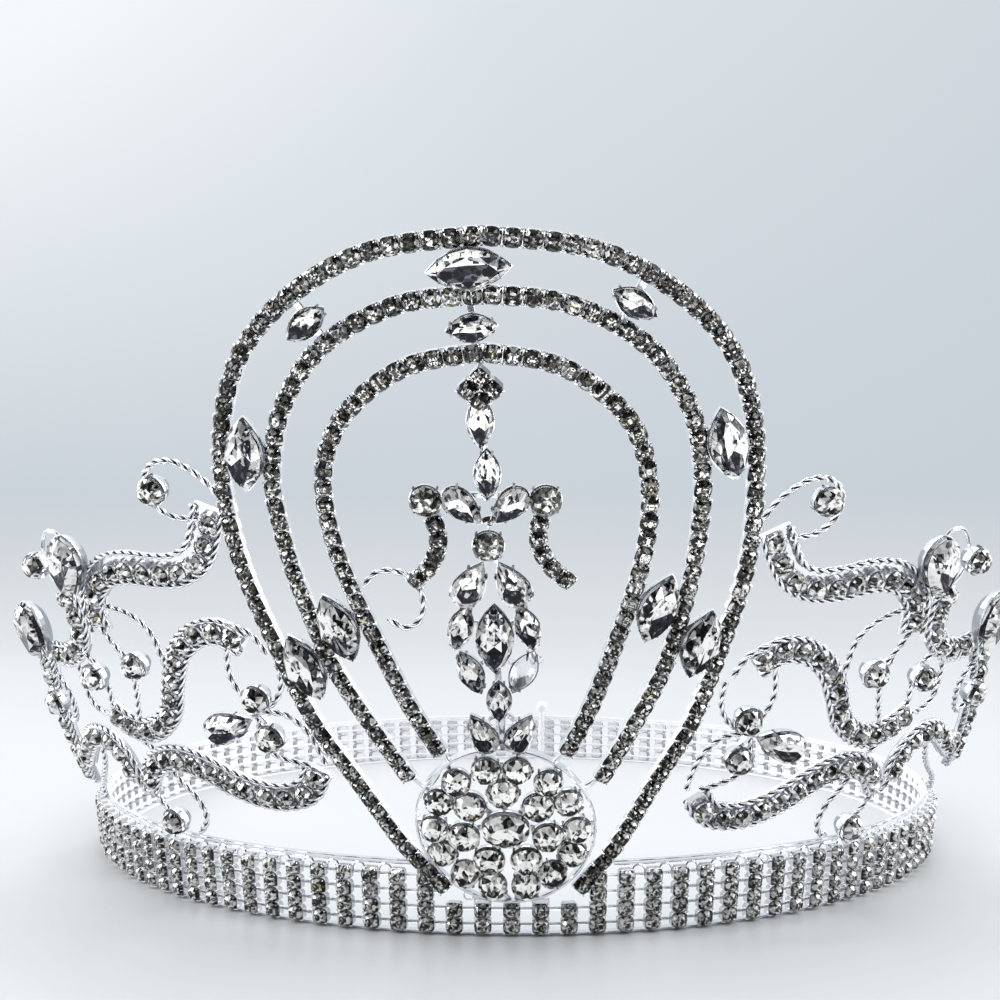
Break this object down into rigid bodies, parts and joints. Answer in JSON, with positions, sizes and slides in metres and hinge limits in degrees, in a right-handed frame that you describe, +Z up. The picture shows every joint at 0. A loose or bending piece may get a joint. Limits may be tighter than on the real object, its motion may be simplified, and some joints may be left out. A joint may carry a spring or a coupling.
{
  "type": "pageant crown",
  "caption": "Flared standing crown of bright metal set with clear cut stones: three nested arches, a round front medallion, a hanging centre column and scrolled sides.",
  "frame": {"origin": "centre of the band's foot, on the table; the band's ring is centred on the vertical axis", "axes": "+Z up, -Y towards the crown's front with the medallion, +X to the right of the picture"},
  "size_m": [0.1624, 0.2036, 0.0943],
  "materials": {
    "silver_metal": "polished silver plating",
    "crystal": "clear cut glass with a foiled back"
  },
  "bodies": {
    "root": {"band": "silver_metal", "back_stud": "silver_metal", "outer_arch": "silver_metal", "middle_arch": "silver_metal", "inner_arch": "silver_metal", "arch_settings": "silver_metal", "gallery_stone_1": "crystal", "gallery_stone_2": "crystal", "gallery_stone_3": "crystal", "gallery_stone_4": "crystal", "gallery_stone_5": "crystal", "gallery_stone_6": "crystal", "gallery_stone_7": "crystal", "gallery_stone_8": "crystal", "gallery_stone_9": "crystal", "gallery_stone_10": "crystal", "medallion_frame": "silver_metal", "medallion_stones": "crystal", "medallion_oval": "crystal", "centre_column": "silver_metal", "column_stone_1": "crystal", "column_stone_2": "crystal", "column_stone_3": "crystal", "column_stone_4": "crystal", "column_stone_5": "crystal", "column_stone_6": "crystal", "column_stone_7": "crystal", "column_stone_8": "crystal", "column_stone_9": "crystal", "column_stone_10": "crystal", "column_stone_11": "crystal", "column_stone_12": "crystal", "column_stone_13": "crystal", "column_stone_14": "crystal", "column_stone_15": "crystal", "column_stone_16": "crystal", "square_stones": "crystal", "tail_stones": "crystal", "left_scrolls": "silver_metal", "left_scroll_stones": "crystal", "left_round_stones": "crystal", "left_pear_1": "crystal", "left_pear_2": "crystal", "left_pear_3": "crystal", "right_scrolls": "silver_metal", "right_scroll_stones": "crystal", "right_round_stones": "crystal", "right_pear_1": "crystal", "right_pear_2": "crystal", "right_pear_3": "crystal"}
  },
  "joints": []
}
